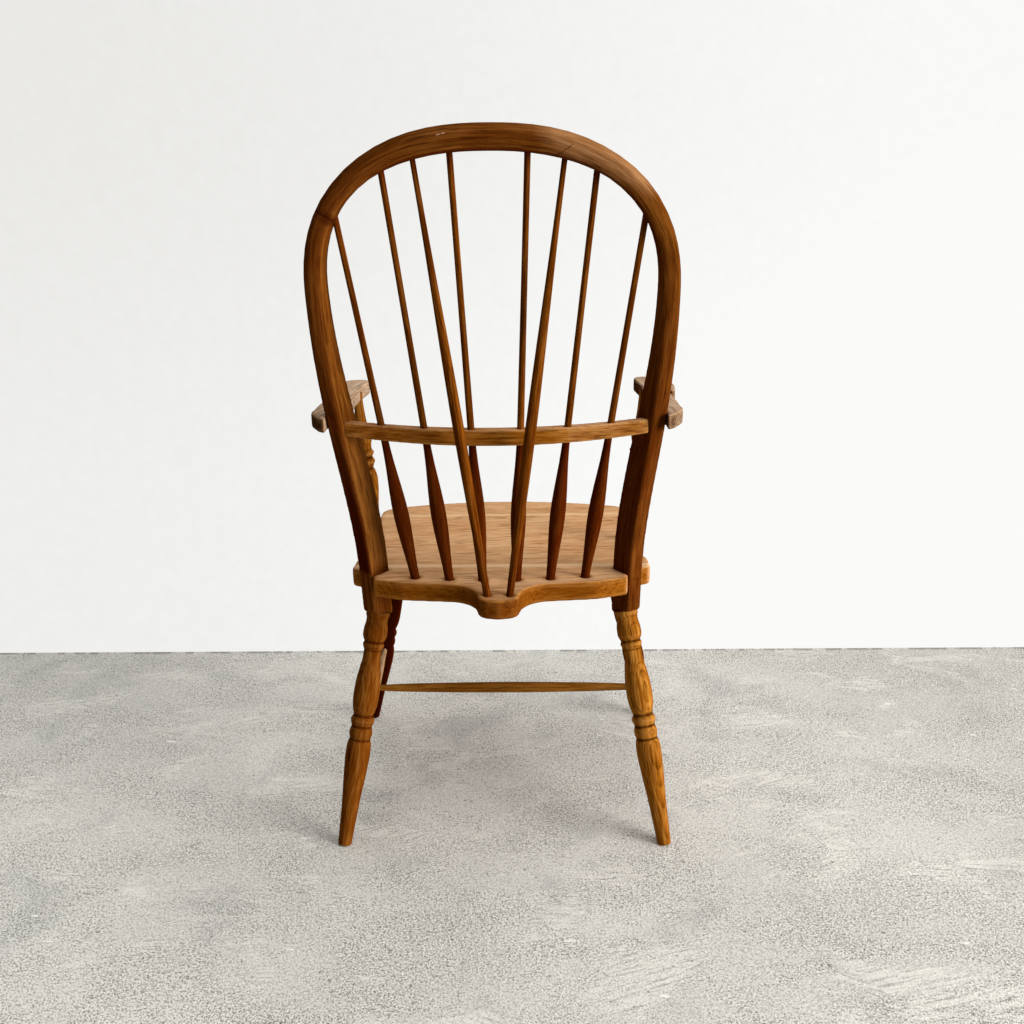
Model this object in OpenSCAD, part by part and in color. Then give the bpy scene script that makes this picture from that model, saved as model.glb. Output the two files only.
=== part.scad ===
// Spindle back armchair in one body: a bent hoop bow, turned legs, posts and spindles, solid seat.
// The origin is on the floor, under the middle of the chair. X is across, the front faces -Y, Z is up.
// Left is the sitter's left, at +X.

/* [Seat] */
// Height of the seat's top face above the floor
seat_h = 430; // [400:1:470]
// Thickness of the seat board
seat_t = 28; // [24:1:36]
// Greatest width of the seat
seat_w = 480; // [465:1:495]
// Depth of the seat from its front edge to the middle back spindles
seat_depth = 394; // [370:1:430]
// How far the bob tail stands out behind the middle back spindles
tail_len = 86; // [80:1:100]
// Width of the bob tail
tail_w = 56; // [50:1:70]
// Depth of the hollow shaped into the seat's top
dish_deep = 6; // [3:0.5:9]

/* [Bow] */
// Height of the middle of the bow above the floor, on its centre line
bow_h = 1052; // [980:1:1120]
// Width of the bow between its centre lines where it is widest
bow_w = 466; // [440:1:480]
// Height of the widest part of the bow above the floor
bow_wide_h = 858; // [830:1:890]
// Width between the two feet of the bow, on their centre lines
bow_foot_w = 389; // [370:1:395]
// Height of the bottom end of the bow's feet above the floor
bow_foot_h = 357; // [345:1:372]
// Lean of the bow to the back, from upright
bow_lean = 12; // [8:0.5:15]
// How square the bow's shoulders are, 2 for an ellipse
bow_square = 2.38; // [2:0.02:2.8]
// Front to back size of the bow's section
bow_deep = 38; // [35:1:42]
// Size of the bow's section from its inner to its outer face
bow_t = 25.5; // [24:0.5:29]
// How much thicker the bow is at the middle of its crown
bow_swell = 3; // [0:0.5:4]
// How much higher the bow's left shoulder stands than its right one
bow_tilt = 5; // [0:0.5:8]
// Turn of the bow's section at the seat, inner faces to the back
bow_twist = 38; // [30:1:42]
// Corner radius of the bow's section at the top
bow_round = 9; // [5:0.5:11]
// Corner radius of the bow's section at the feet
foot_round = 2.5; // [1.5:0.5:4]

/* [Back spindles] */
// Sideways place of an outer spindle on the seat
outer_seat_x = 128.5; // [124:1:133]
// Sideways place of a middle pair's spindle on the seat
second_seat_x = 76; // [74:1:84]
// Sideways place of an inner spindle on the seat
inner_seat_x = 25.5; // [24:0.5:29]
// Sideways place of an outer spindle in the bow
outer_bow_x = 200.5; // [196:0.5:204]
// Sideways place of a middle pair's spindle in the bow
second_bow_x = 136.5; // [132:0.5:144]
// Sideways place of an inner spindle in the bow
inner_bow_x = 49; // [44:0.5:54]
// Thickest diameter of a back spindle
spindle_d = 22.5; // [19:0.5:24]
// Diameter of a back spindle at the mid rail
spindle_rail_d = 10; // [9:0.5:12]
// Diameter of a back spindle at the bow
spindle_top_d = 8.2; // [7:0.1:9.5]
// Sideways place of a brace stick on the bob tail
brace_seat_x = 16.5; // [15:0.5:19]
// Sideways place of a brace stick in the bow
brace_bow_x = 96.5; // [88:1:106]
// Thickest diameter of a brace stick
brace_d = 15.5; // [13:0.5:17]

/* [Mid rail] */
// Height of the rail's top face above the seat at its middle
rail_h = 239.5; // [225:0.5:250]
// Height of the rail's back face at its middle
rail_mid_t = 20.5; // [17:0.5:22]
// Height of the rail's back face at its ends
rail_end_t = 17.5; // [14:0.5:20]
// Front to back size of the rail at its middle
rail_deep = 18; // [16:0.5:22]
// How far the rail's ends rise above its middle
rail_rise = 12; // [8:0.5:15]
// How far the rail's middle lies behind its ends
rail_curve = 13; // [10:0.5:18]

/* [Arms] */
// Height of the arm's top face above the floor
arm_h = 689; // [670:1:710]
// Thickness of an arm
arm_t = 20; // [17:0.5:24]
// Length of an arm in front of the middle back spindles
arm_front = 247; // [230:1:260]
// Sideways place of the arm's straight outer edge
arm_out_x = 263; // [258:1:266]
// Sideways place of the arm post on the seat
post_seat_x = 212; // [203:1:214]
// Sideways place of the arm post under the arm
post_arm_x = 228; // [219:1:230]
// Distance of the arm post's foot in front of the middle back spindles
post_front = 192; // [175:1:210]
// Thickest diameter of the arm post
post_d = 30; // [26:0.5:33]

/* [Legs] */
// Sideways place of a rear foot on the floor
rear_foot_x = 253.5; // [240:1:265]
// Distance of a rear foot behind the middle back spindles
rear_foot_back = 48; // [30:1:65]
// Sideways place of a front foot on the floor
front_foot_x = 267; // [250:1:275]
// Distance of a front foot in front of the middle back spindles
front_foot_front = 362; // [345:1:380]
// Sideways place of a front leg under the seat
front_top_x = 184.5; // [172:1:190]
// Distance of a front leg under the seat in front of the middle back spindles
front_top_front = 299; // [285:1:312]
// Thickest diameter of a leg
leg_d = 40.5; // [37:0.5:43]
// Diameter of a foot on the floor
foot_d = 21; // [19:0.5:24]

/* [Stretchers] */
// Height of the side stretchers at the rear legs
stretch_rear_h = 152; // [135:1:156]
// Height of the side stretchers at the front legs
stretch_front_h = 160; // [145:1:162]
// Place of the cross stretcher along the side stretchers, 0 at the rear legs
cross_at = 0.54; // [0.45:0.01:0.6]
// Thickest diameter of a side stretcher
side_stretch_d = 21; // [18:0.5:24]
// Thickest diameter of the cross stretcher
cross_stretch_d = 18.5; // [16:0.5:22]
// Diameter of a stretcher at its ends
stretch_end_d = 13; // [12:0.5:15]

/* [Joinery] */
// Room all round a glued tenon in its hole
glue_gap = 0.1; // [0.05:0.05:0.2]
// Room all round the bow in the notches of the seat and the arms
notch_gap = 0.5; // [0.4:0.1:0.8]

/* [Hidden] */
$fn = 96;
seat_low = seat_h - seat_t;
tan_lean = tan(bow_lean);
bow_y = -37.5;
foot_x = bow_foot_w / 2;
bow_x = bow_w / 2;
wood_red = [0.40, 0.21, 0.08];
wood_dark = [0.33, 0.16, 0.05];
wood_seat = [0.55, 0.33, 0.17];
wood_grey = [0.55, 0.43, 0.33];
wood_leg = [0.46, 0.27, 0.12];

// The chair's rearmost point on the bow and the middle of its outline, which lies over the origin.
back_y = bow_y + tan_lean * (bow_h - seat_h) + ((bow_t + bow_swell) / 2 - bow_round) * sin(bow_lean)
    + (bow_deep / 2 - bow_round) * cos(bow_lean) + bow_round;
mid_y = (back_y - seat_depth) / 2;

// The bow's centre line: side z gives the lower part, crown x the part over the widest place.
function bow_plane(z) = bow_y + tan_lean * (z - seat_h);
function side_x(z) = z <= seat_h ? foot_x
    : foot_x + (bow_x - foot_x) * pow(sin(90 * (z - seat_h) / (bow_wide_h - seat_h)), 1.9);
function crown_z(x) = bow_wide_h
    + (bow_h - bow_wide_h) * pow(max(0, 1 - pow(abs(x) / bow_x, bow_square)), 1 / bow_square);
function side_point(z) = [side_x(z), bow_plane(z), z];
function crown_turn(a) =
    let (x = bow_x * pow(cos(a), 2 / bow_square),
         z = bow_wide_h + (bow_h - bow_wide_h) * pow(sin(a), 2 / bow_square))
    [x, bow_plane(z), z];

// One half of the bow as points, from below the foot to the middle of the crown.
bow_start = bow_foot_h - 30;
half_line = concat(
    [[foot_x, bow_plane(bow_start), bow_start], side_point(seat_h)],
    [for (i = [1 : 19]) side_point(seat_h + (bow_wide_h - seat_h) * i / 20)],
    [for (i = [0 : 17]) let (t = i / 18) crown_turn(90 * (0.4 * t + 0.6 * t * t * (3 - 2 * t)))],
    [[0, bow_plane(bow_h), bow_h]]);
half_n = len(half_line);
bow_line = [for (p = concat(half_line,
    [for (i = [half_n - 2 : -1 : 0]) [-half_line[i].x, half_line[i].y, half_line[i].z]]))
    let (z = p.z + bow_tilt / 2 * p.x / bow_x * max(0, p.z - arm_h) / (bow_h - arm_h))
    [p.x, bow_plane(z), z]];

// How far the bow's section has turned at height z, and how round its corners are there.
function blend(t) = let (c = min(1, max(0, t))) c * c * (3 - 2 * c);
function twist_at(z) = bow_twist * blend((bow_wide_h + 60 - z) / (bow_wide_h + 60 - seat_h - 130));
function thick_at(z) = bow_t + bow_swell * blend(5 * (z - bow_wide_h) / (bow_h - bow_wide_h) - 4);
function round_at(z) = foot_round + (bow_round - foot_round)
    * blend((z - seat_h - 60) / (bow_wide_h - seat_h - 60));

// A rounded rectangle as points: w is its size in x, h in y, r its corner radius.
function round_rect(w, h, r, n = 4) = [for (k = [0 : 3], i = [0 : n - 1])
    let (a = 90 * k + 90 * i / (n - 1), sx = k == 0 || k == 3 ? 1 : -1, sy = k < 2 ? 1 : -1)
    [sx * (w / 2 - r) + r * cos(a), sy * (h / 2 - r) + r * sin(a)]];

// The frame of the bow at a point: out from the chair's middle, and square to the bow's plane.
plane_n = [0, cos(bow_lean), -sin(bow_lean)];
function unit(v) = v / norm(v);
function bow_ring(p, way) =
    let (out = unit(cross(plane_n, way)), a = twist_at(p.z),
         u = out * cos(a) - plane_n * sin(a), v = plane_n * cos(a) + out * sin(a))
    [for (q = round_rect(thick_at(p.z), bow_deep, round_at(p.z))) p + u * q.x + v * q.y];

// Turned shapes: keys are pairs of a height and a radius, joined by a curve that never overshoots.
function slopes(k) = [for (i = [0 : len(k) - 2]) (k[i + 1][1] - k[i][1]) / (k[i + 1][0] - k[i][0])];
function tangents(k, s) = [for (i = [0 : len(k) - 1])
    i == 0 ? s[0] : i == len(k) - 1 ? s[i - 1]
    : s[i - 1] * s[i] <= 0 ? 0 : 2 * s[i - 1] * s[i] / (s[i - 1] + s[i])];
function curve(k, n) = let (s = slopes(k), m = tangents(k, s)) concat(
    [for (i = [0 : len(k) - 2], j = [0 : n - 1])
        let (h = k[i + 1][0] - k[i][0], t = j / n, t2 = t * t, t3 = t2 * t)
        [(2 * t3 - 3 * t2 + 1) * k[i][1] + (t3 - 2 * t2 + t) * h * m[i]
            + (3 * t2 - 2 * t3) * k[i + 1][1] + (t3 - t2) * h * m[i + 1],
         k[i][0] + h * t]],
    [[k[len(k) - 1][1], k[len(k) - 1][0]]]);

// Sets its children's Z axis along the line from p to q, with their origin at p.
module along(p, q) {
    d = q - p;
    translate(p) rotate(a = acos(d.z / norm(d)), v = cross([0, 0, 1], d)) children();
}

// A straight length of the bow's section, larger all round by room, to cut a neighbour around it.
module bow_block(z, long, room) {
    way = unit(side_point(z + 4) - side_point(z - 4));
    out = unit(cross(plane_n, way));
    a = twist_at(z);
    u = out * cos(a) - plane_n * sin(a);
    v = plane_n * cos(a) + out * sin(a);
    p = side_point(z);
    multmatrix([[u.x, v.x, way.x, p.x], [u.y, v.y, way.y, p.y], [u.z, v.z, way.z, p.z]])
        cube([bow_t + 2 * room, bow_deep + 2 * room, long], center = true);
}

// A copy on each side of the chair.
module both() {
    children();
    mirror([1, 0, 0]) children();
}

// A turned piece from p to q. Its keys are heights and radii along that line.
module turned(p, q, keys, n = 5, room = 0) {
    pts = [for (c = curve(keys, n)) [c.x + room, c.y]];
    along(p, q) rotate_extrude()
        polygon(concat([[0, keys[0][0]]], pts, [[0, keys[len(keys) - 1][0]]]));
}

// A round hole around the line from p to q, from a to b along it.
module hole(p, q, d, a, b) {
    along(p, q) translate([0, 0, a]) cylinder(d = d + 2 * glue_gap, h = b - a);
}

// Back spindles: k counts from the outer one inwards.
spindle_seat_x = [outer_seat_x, second_seat_x, inner_seat_x];
spindle_bow_x = [outer_bow_x, second_bow_x, inner_bow_x];
spindle_seat_y = [-11.5, -4, 0];
spindle_foot_d = 13.5;
spindle_in = 19;
spindle_tenon = 36;
function spindle_low(k) = [spindle_seat_x[k], spindle_seat_y[k], seat_h];
function spindle_high(k) = let (x = spindle_bow_x[k]) [x, bow_plane(crown_z(x)), crown_z(x)];
module spindle(k, room = 0) {
    p = spindle_low(k);
    q = spindle_high(k);
    l = norm(q - p);
    r = l * rail_h / (q.z - p.z);
    turned(p, q, [[-spindle_in, spindle_foot_d / 2], [0, spindle_foot_d / 2],
        [r * 0.44, spindle_d / 2], [r * 0.87, spindle_rail_d / 2 + 0.6],
        [r + 2, spindle_rail_d / 2], [l - spindle_tenon, spindle_top_d / 2],
        [l, spindle_top_d / 2]], 5, room);
}

// Brace sticks, from the bob tail to the bow behind the rail.
brace_foot_d = 10.8;
brace_top_d = 7.2;
brace_low = [brace_seat_x, 61, seat_h];
brace_high = [brace_bow_x, bow_plane(crown_z(brace_bow_x)), crown_z(brace_bow_x)];
brace_l = norm(brace_high - brace_low);
module brace() {
    turned(brace_low, brace_high, [[-spindle_in, brace_foot_d / 2], [0, brace_foot_d / 2],
        [brace_l * 0.39, brace_d / 2], [brace_l - spindle_tenon, brace_top_d / 2],
        [brace_l, brace_top_d / 2]], 8);
}

// The bow: a swept section with a cut foot, and holes for everything that enters it.
joint = [foot_x, bow_plane(bow_foot_h), bow_foot_h];
rear_foot = [rear_foot_x, rear_foot_back, 0];
leg_tenon_d = 16;
leg_tenon = 18;
module bow_sweep() {
    n = len(bow_line);
    rings = [for (i = [0 : n - 1])
        bow_ring(bow_line[i], bow_line[min(n - 1, i + 1)] - bow_line[max(0, i - 1)])];
    m = len(rings[0]);
    polyhedron(
        points = [for (r = rings) each r],
        faces = concat(
            [[for (j = [m - 1 : -1 : 0]) j]],
            [for (i = [0 : n - 2], j = [0 : m - 1], h = [0 : 1])
                let (a = i * m + j, b = i * m + (j + 1) % m)
                h == 0 ? [a, b, b + m] : [a, b + m, a + m]],
            [[for (j = [0 : m - 1]) (n - 1) * m + j]]));
}
module foot_cut() {
    along(joint, rear_foot) {
        translate([-60, -60, 0]) cube([120, 120, 90]);
        rotate_extrude() polygon([[20.5, 1], [34, 1], [34, -12.5]]);
    }
}
module bow() {
    color(wood_red) difference() {
        bow_sweep();
        both() {
            foot_cut();
            hole(rear_foot, joint, leg_tenon_d, norm(joint - rear_foot) - 2,
                norm(joint - rear_foot) + leg_tenon + 1);
            for (k = [0 : 2]) {
                l = norm(spindle_high(k) - spindle_low(k));
                hole(spindle_low(k), spindle_high(k), spindle_top_d, l - 50, l + 1);
            }
            hole(brace_low, brace_high, brace_top_d, brace_l - 50, brace_l + 1);
            hole(rail_in, rail_out, rail_tenon_d, 0, norm(rail_out - rail_in) + 1);
        }
    }
}

// The mid rail: a curved band seen from above, shaped to a slim bow seen from behind.
rail_half = 226;
rail_mid_y = 36;
rail_tenon_d = 9;
rail_end_y = rail_mid_y - rail_curve;
rail_end_z = seat_h + rail_h + rail_rise - rail_end_t / 2;
rail_in = [side_x(rail_end_z) - 34, rail_end_y, rail_end_z];
rail_out = [side_x(rail_end_z) + 2, rail_end_y, rail_end_z];
function parab(x, mid, end) = mid + (end - mid) * pow(x / rail_half, 2);
module rail_body() {
    xs = [for (i = [-18 : 18]) rail_half * i / 18];
    intersection() {
        translate([0, 0, seat_h]) linear_extrude(rail_h + 60) polygon(concat(
            [for (x = xs) [x, parab(x, rail_mid_y + rail_deep / 2, rail_end_y + rail_deep * 0.38)]],
            [for (i = [36 : -1 : 0])
                [xs[i], parab(xs[i], rail_mid_y - rail_deep / 2, rail_end_y - rail_deep * 0.38)]]));
        translate([0, 90, seat_h + rail_h]) rotate([90, 0, 0]) linear_extrude(160) polygon(concat(
            [for (x = xs) [x, parab(x, 0, rail_rise)]],
            [for (i = [36 : -1 : 0]) [xs[i], parab(xs[i], -rail_mid_t, rail_rise - rail_end_t)]]));
    }
}
module mid_rail() {
    color(wood_red) difference() {
        union() {
            difference() {
                rail_body();
                both() bow_block(rail_end_z, 90, glue_gap);
                both() translate([side_x(rail_end_z), -60, seat_h]) cube([90, 160, 400]);
            }
            both() hole(rail_in, rail_out, rail_tenon_d - 2 * glue_gap, 8, norm(rail_out - rail_in));
        }
        both() for (k = [0 : 2]) spindle(k, glue_gap);
    }
}

// The seat board: its outline from above, a hollow across it, notches and holes.
// Each corner of the outline is a place and a rounding radius.
side_front = seat_w / 2;
seat_corners = [
    [side_front - 18, -seat_depth + 46, 36], [side_front - 12, -200, 60],
    [side_front - 14, -112, 12], [side_front - 9, -94, 10], [side_front - 9, -49, 13],
    [foot_x + 10, -37, 0],
    [foot_x, bow_y, 0], [foot_x - 3, -5, 0], [146, 12.5, 60],
    [tail_w / 2 + 7, 24, 48], [tail_w / 2, tail_len - 6, 20]];
function corner_arc(a, b, c) = b.z == 0 ? [[b.x, b.y]] :
    let (p = [b.x, b.y], u = unit([a.x, a.y] - p), v = unit([c.x, c.y] - p),
         half = acos(u * v) / 2, d = b.z / tan(half), m = p + unit(u + v) * b.z / sin(half),
         s = p + u * d - m, e = p + v * d - m,
         a0 = atan2(s.y, s.x), turn = atan2(s.x * e.y - s.y * e.x, s * e))
    [for (i = [0 : 6]) m + b.z * [cos(a0 + turn * i / 6), sin(a0 + turn * i / 6)]];
seat_front_line = [for (i = [0 : 10]) let (x = (side_front - 40) * i / 10)
    [x, -seat_depth + 32 * pow(x / (side_front - 40), 2)]];
seat_side = let (n = len(seat_corners)) [for (i = [0 : n - 1]) each corner_arc(
    i == 0 ? concat(seat_front_line[10], [0]) : seat_corners[i - 1], seat_corners[i],
    i == n - 1 ? [0, tail_len, 0] : seat_corners[i + 1])];
seat_half = concat(seat_front_line, seat_side, [[0, tail_len]]);
seat_outline = concat(seat_half,
    [for (i = [len(seat_half) - 2 : -1 : 1]) [-seat_half[i].x, seat_half[i].y]]);
dish_rear = -59;
dish_front = -308;
dish_mid = (dish_rear + dish_front) / 2;
dish_half = (dish_rear - dish_front) / 2;
dish_line = [for (i = [-16 : 16]) [dish_half * i / 16, -dish_deep * (1 - pow(i / 16, 2))]];
front_foot = [front_foot_x, -front_foot_front, 0];
front_top = [front_top_x, -front_top_front, seat_low];
front_tenon_d = 24;
front_tenon = 17;
post_low = [post_seat_x, -post_front, seat_h - dish_deep];
post_high = [post_arm_x, -post_front + 13, arm_h - arm_t];
post_foot_d = 18;
post_top_d = 15;
post_in = 14;
post_out = 12;
module seat() {
    fl = norm(front_top - front_foot);
    color(wood_seat) difference() {
        translate([0, 0, seat_low]) linear_extrude(seat_t) polygon(seat_outline);
        translate([-300, dish_mid, seat_h]) rotate([90, 0, 90]) linear_extrude(600)
            polygon(concat(dish_line, [[dish_half, 20], [-dish_half, 20]]));
        both() {
            bow_block(seat_h - seat_t / 2, 80, notch_gap);
            for (k = [0 : 2])
                hole(spindle_low(k), spindle_high(k), spindle_foot_d, -spindle_in - 1, 20);
            hole(brace_low, brace_high, brace_foot_d, -spindle_in - 1, 20);
            hole(post_low, post_high, post_foot_d, -post_in - 1, 20);
            hole(front_foot, front_top, front_tenon_d, fl - 20, fl + front_tenon + 1);
        }
    }
}

// An arm: a flat shaped board with a curl at its front, notched round the bow.
arm_points = [
    [223, -arm_front, 10], [217, -236, 20], [223, -172, 40], [223, -60, 60], [217, -10, 20],
    [222, 49, 10], [246, 43, 23], [arm_out_x + 2, 4, 38], [arm_out_x - 2, -132, 0],
    [arm_out_x - 1, -139, 0], [arm_out_x + 1, -131, 0], [arm_out_x + 4, -121, 2],
    [arm_out_x + 9, -140, 10], [arm_out_x + 13, -176, 40], [arm_out_x + 8, -217, 24],
    [arm_out_x - 16, -arm_front - 7, 24]];
arm_outline = let (n = len(arm_points)) [for (i = [0 : n - 1]) each corner_arc(
    arm_points[(i + n - 1) % n], arm_points[i], arm_points[(i + 1) % n])];
module arm() {
    pl = norm(post_high - post_low);
    at_bow = side_point(arm_h - arm_t / 2);
    turn = twist_at(arm_h);
    corner = bow_t / 2 * cos(turn) + bow_deep / 2 * sin(turn);
    color(wood_grey) difference() {
        translate([0, 0, arm_h - arm_t]) linear_extrude(arm_t) polygon(arm_outline);
        bow_block(arm_h - arm_t / 2, 70, notch_gap);
        translate([at_bow.x - 50, at_bow.y, arm_h - arm_t - 1])
            cube([50 + corner, 60, arm_t + 2]);
        hole(post_low, post_high, post_top_d, pl - 20, pl + post_out + 1);
    }
}
module arm_post() {
    l = norm(post_high - post_low);
    b = post_d / 2;
    color(wood_leg) turned(post_low, post_high, [
        [-post_in, post_foot_d / 2], [2, post_foot_d / 2], [34, 8.6], [39, 10.4], [44, 9],
        [112, b], [127, b * 0.84], [132, b * 0.68], [138, b * 0.8], [143, b * 0.95], [148, b * 0.8],
        [151, b * 0.72], [154, b * 0.84], [158, b * 0.95], [162, b * 0.8], [166, b * 0.74],
        [182, b * 0.9], [215, 8.6], [l, post_top_d / 2], [l + post_out, post_top_d / 2]], 5);
}

// The legs share one turning up to their swell. h is the full length, top the upper radius.
function leg_keys(h, top) = let (b = leg_d / 2) [
    [0, foot_d / 2], [24, b * 0.58], [72, b * 0.7], [104, b * 0.83], [130, b * 0.92],
    [146, b * 0.96], [159, b * 0.94], [167, b * 0.88], [170.5, b * 0.8], [175, b * 0.85],
    [181, b * 0.9], [186.5, b * 0.86], [191.5, b * 0.78], [196, b * 0.86], [201.5, b * 0.92],
    [206, b * 0.83], [209, b * 0.76], [216, b * 0.84], [226, b * 0.95], [241, b],
    [h - 114, b * 0.96], [h - 88, b * 0.79], [h - 75, b * 0.69], [h - 62, b * 0.68],
    [h - 58.5, b * 0.75], [h - 53, b * 0.83], [h - 48.5, b * 0.75], [h - 45, b * 0.83],
    [h - 38, b * 0.935], [h - 28, b * 0.92], [h - 15, b * 0.825], [h - 10, b * 0.84],
    [h - 6, top], [h, top]];
stretch_in = 6;
stretch_neck = 22;
cross_in = 3;
cross_neck = 16;
module stretcher_holes(p, q) {
    hole(p, q, stretch_end_d, stretch_in - 1, stretch_in + 34);
}
function on_leg(foot, top, z) = foot + (top - foot) * (z / top.z);
side_rear = on_leg(rear_foot, joint, stretch_rear_h);
side_fore = on_leg(front_foot, front_top, stretch_front_h);
side_l = norm(side_fore - side_rear);
cross_end = side_rear + (side_fore - side_rear) * cross_at;
cross_far = [-cross_end.x, cross_end.y, cross_end.z];
cross_l = 2 * cross_end.x;
module rear_leg() {
    l = norm(joint - rear_foot);
    color(wood_leg) difference() {
        union() {
            turned(rear_foot, joint, leg_keys(l, leg_d * 0.455), 4);
            along(rear_foot, joint) translate([0, 0, l - 1]) cylinder(d = leg_tenon_d, h = leg_tenon + 1);
        }
        floor_cut();
        stretcher_holes(side_rear, side_fore);
    }
}
module front_leg() {
    l = norm(front_top - front_foot);
    color(wood_leg) difference() {
        turned(front_foot, front_top, concat([for (k = leg_keys(l, front_tenon_d / 2))
            if (k[0] < l - 8) k], [[l - 6, front_tenon_d / 2], [l + front_tenon, front_tenon_d / 2]]), 4);
        floor_cut();
        stretcher_holes(side_fore, side_rear);
    }
}
module floor_cut() {
    translate([-500, -500, -40]) cube([1000, 1000, 40]);
}
module stretcher(p, q, l, d) {
    turned(p, q, [[stretch_in, stretch_end_d / 2], [stretch_neck, stretch_end_d / 2],
        [l * 0.28, d * 0.43], [l / 2, d / 2], [l * 0.72, d * 0.43],
        [l - stretch_neck, stretch_end_d / 2], [l - stretch_in, stretch_end_d / 2]], 6);
}
module side_stretcher() {
    color(wood_leg) difference() {
        stretcher(side_rear, side_fore, side_l, side_stretch_d);
        hole(cross_end, cross_far, stretch_end_d * 0.8, cross_in - 1, stretch_end_d * 3);
    }
}
module cross_stretcher() {
    e = stretch_end_d * 0.4;
    color(wood_red) turned(cross_end, cross_far, [[cross_in, e], [cross_neck, e],
        [cross_neck + 8, e + 0.6], [cross_l * 0.2, cross_stretch_d * 0.42], [cross_l / 2, cross_stretch_d / 2],
        [cross_l * 0.8, cross_stretch_d * 0.42], [cross_l - cross_neck - 8, e + 0.6],
        [cross_l - cross_neck, e],
        [cross_l - cross_in, e]], 6);
}

// Everything is laid out from the foot line of the middle spindles, then moved over the origin.
module place(right = false) {
    translate([0, -mid_y, 0]) mirror([right ? 1 : 0, 0, 0]) children();
}

place() seat();
place() bow();
place() mid_rail();
place() color(wood_dark) spindle(0);  // spindle_1
place() color(wood_dark) spindle(1);  // spindle_2
place() color(wood_dark) spindle(2);  // spindle_3
place(true) color(wood_dark) spindle(2);  // spindle_4
place(true) color(wood_dark) spindle(1);  // spindle_5
place(true) color(wood_dark) spindle(0);  // spindle_6
place() color(wood_dark) brace();  // brace_stick_left
place(true) color(wood_dark) brace();  // brace_stick_right
place() arm();  // arm_left
place(true) arm();  // arm_right
place() arm_post();  // arm_post_left
place(true) arm_post();  // arm_post_right
place() rear_leg();  // rear_leg_left
place(true) rear_leg();  // rear_leg_right
place() front_leg();  // front_leg_left
place(true) front_leg();  // front_leg_right
place() side_stretcher();  // side_stretcher_left
place(true) side_stretcher();  // side_stretcher_right
place() cross_stretcher();
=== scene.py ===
# Spindle back armchair of turned and bent wood, seen from behind on a pale floor.
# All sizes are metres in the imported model's frame: the front faces -Y, the sitter's left is +X.
import math

import bpy
import numpy as np
from mathutils import Matrix, Vector


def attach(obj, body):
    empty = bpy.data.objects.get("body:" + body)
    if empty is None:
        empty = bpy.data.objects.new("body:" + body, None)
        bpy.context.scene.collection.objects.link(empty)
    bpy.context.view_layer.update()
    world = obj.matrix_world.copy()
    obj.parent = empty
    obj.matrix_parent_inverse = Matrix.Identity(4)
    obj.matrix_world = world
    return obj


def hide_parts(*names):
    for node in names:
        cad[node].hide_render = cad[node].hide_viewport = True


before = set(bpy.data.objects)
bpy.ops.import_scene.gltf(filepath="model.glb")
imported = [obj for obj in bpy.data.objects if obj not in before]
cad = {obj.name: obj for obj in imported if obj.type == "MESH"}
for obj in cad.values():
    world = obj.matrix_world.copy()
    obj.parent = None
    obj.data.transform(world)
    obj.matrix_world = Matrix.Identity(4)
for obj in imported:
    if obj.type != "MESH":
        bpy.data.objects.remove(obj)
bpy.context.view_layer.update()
bpy.ops.object.select_all(action="DESELECT")

# Camera.
# It stands behind the chair and a little lower than its bow, looks 18 degrees down, and is held a
# touch out of level. Its lens takes in the same width as its distance.
camera_at = Vector((-0.0535, 1.571, 1.000))
look_down = math.radians(17.93)
look_aside = math.radians(1.34)
held_off_level = math.radians(-0.91)
ahead = Vector((
    math.sin(look_aside) * math.cos(look_down),
    -math.cos(look_aside) * math.cos(look_down),
    -math.sin(look_down),
))
level = ahead.cross(Vector((0, 0, 1))).normalized()
above = level.cross(ahead)
right = level * math.cos(held_off_level) + above * math.sin(held_off_level)
up = above * math.cos(held_off_level) - level * math.sin(held_off_level)
bpy.ops.object.camera_add(location=camera_at)
camera = bpy.context.object
camera.name = "camera"
camera.data.lens = 36.0
camera.data.sensor_width = 36.0
camera.data.clip_start = 0.05
camera.data.clip_end = 40.0
camera.matrix_world = Matrix.Translation(camera_at) @ Matrix((right, up, -ahead)).transposed().to_4x4()
bpy.context.scene.camera = camera


# Floor and light.
# A pale trowelled concrete floor that ends where the white wall stands in front of the chair. The
# room is bright and even, and one wide soft light comes from behind the camera on the right.
class Wire:
    """The value on one socket, so that shader maths is written as plain sums."""

    def __init__(self, finish, socket):
        self.finish = finish
        self.socket = socket

    def worked(self, kind, first, second):
        return self.finish.node("Math", {"operation": kind}, {0: first, 1: second})

    def __add__(self, other):
        return self.worked("ADD", self, other)

    def __radd__(self, other):
        return self.worked("ADD", other, self)

    def __sub__(self, other):
        return self.worked("SUBTRACT", self, other)

    def __rsub__(self, other):
        return self.worked("SUBTRACT", other, self)

    def __mul__(self, other):
        return self.worked("MULTIPLY", self, other)

    def __rmul__(self, other):
        return self.worked("MULTIPLY", other, self)

    def __truediv__(self, other):
        return self.worked("DIVIDE", self, other)

    def __abs__(self):
        return self.finish.node("Math", {"operation": "ABSOLUTE"}, {0: self})


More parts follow.
